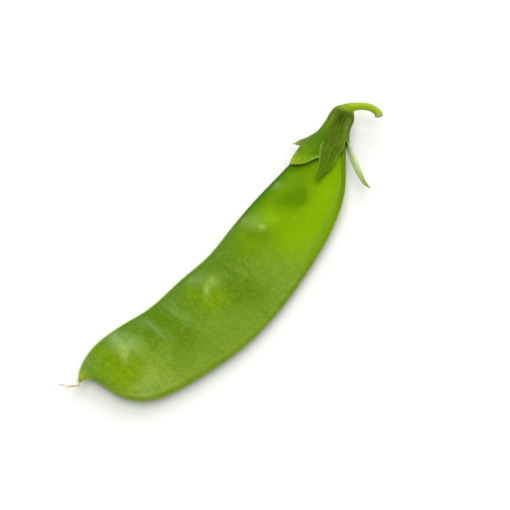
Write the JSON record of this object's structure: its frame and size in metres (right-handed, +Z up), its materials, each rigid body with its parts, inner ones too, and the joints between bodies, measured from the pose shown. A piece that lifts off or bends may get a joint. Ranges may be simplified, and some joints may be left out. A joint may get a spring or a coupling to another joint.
{
  "type": "snow pea pod",
  "caption": "Flat green garden pea pod as picked, lying on its side, with its calyx, a hooked stalk end and a dried style at the beak.",
  "frame": {"origin": "on the surface that the pod lies on, under the middle of its bounding box", "axes": "+Z up; +X along the pod from the beak to the stalk; +Y towards the seam that carries the seeds"},
  "size_m": [0.0928, 0.026, 0.007],
  "materials": {
    "pod_skin": "waxy fresh green skin, satin",
    "calyx_green": "leafy darker green, matt",
    "stalk_green": "yellow-green, satin",
    "style_tan": "dry and pale tan, matt"
  },
  "bodies": {
    "root": {"pod": "pod_skin", "calyx": "calyx_green", "stalk": "stalk_green", "style": "style_tan"}
  },
  "joints": []
}
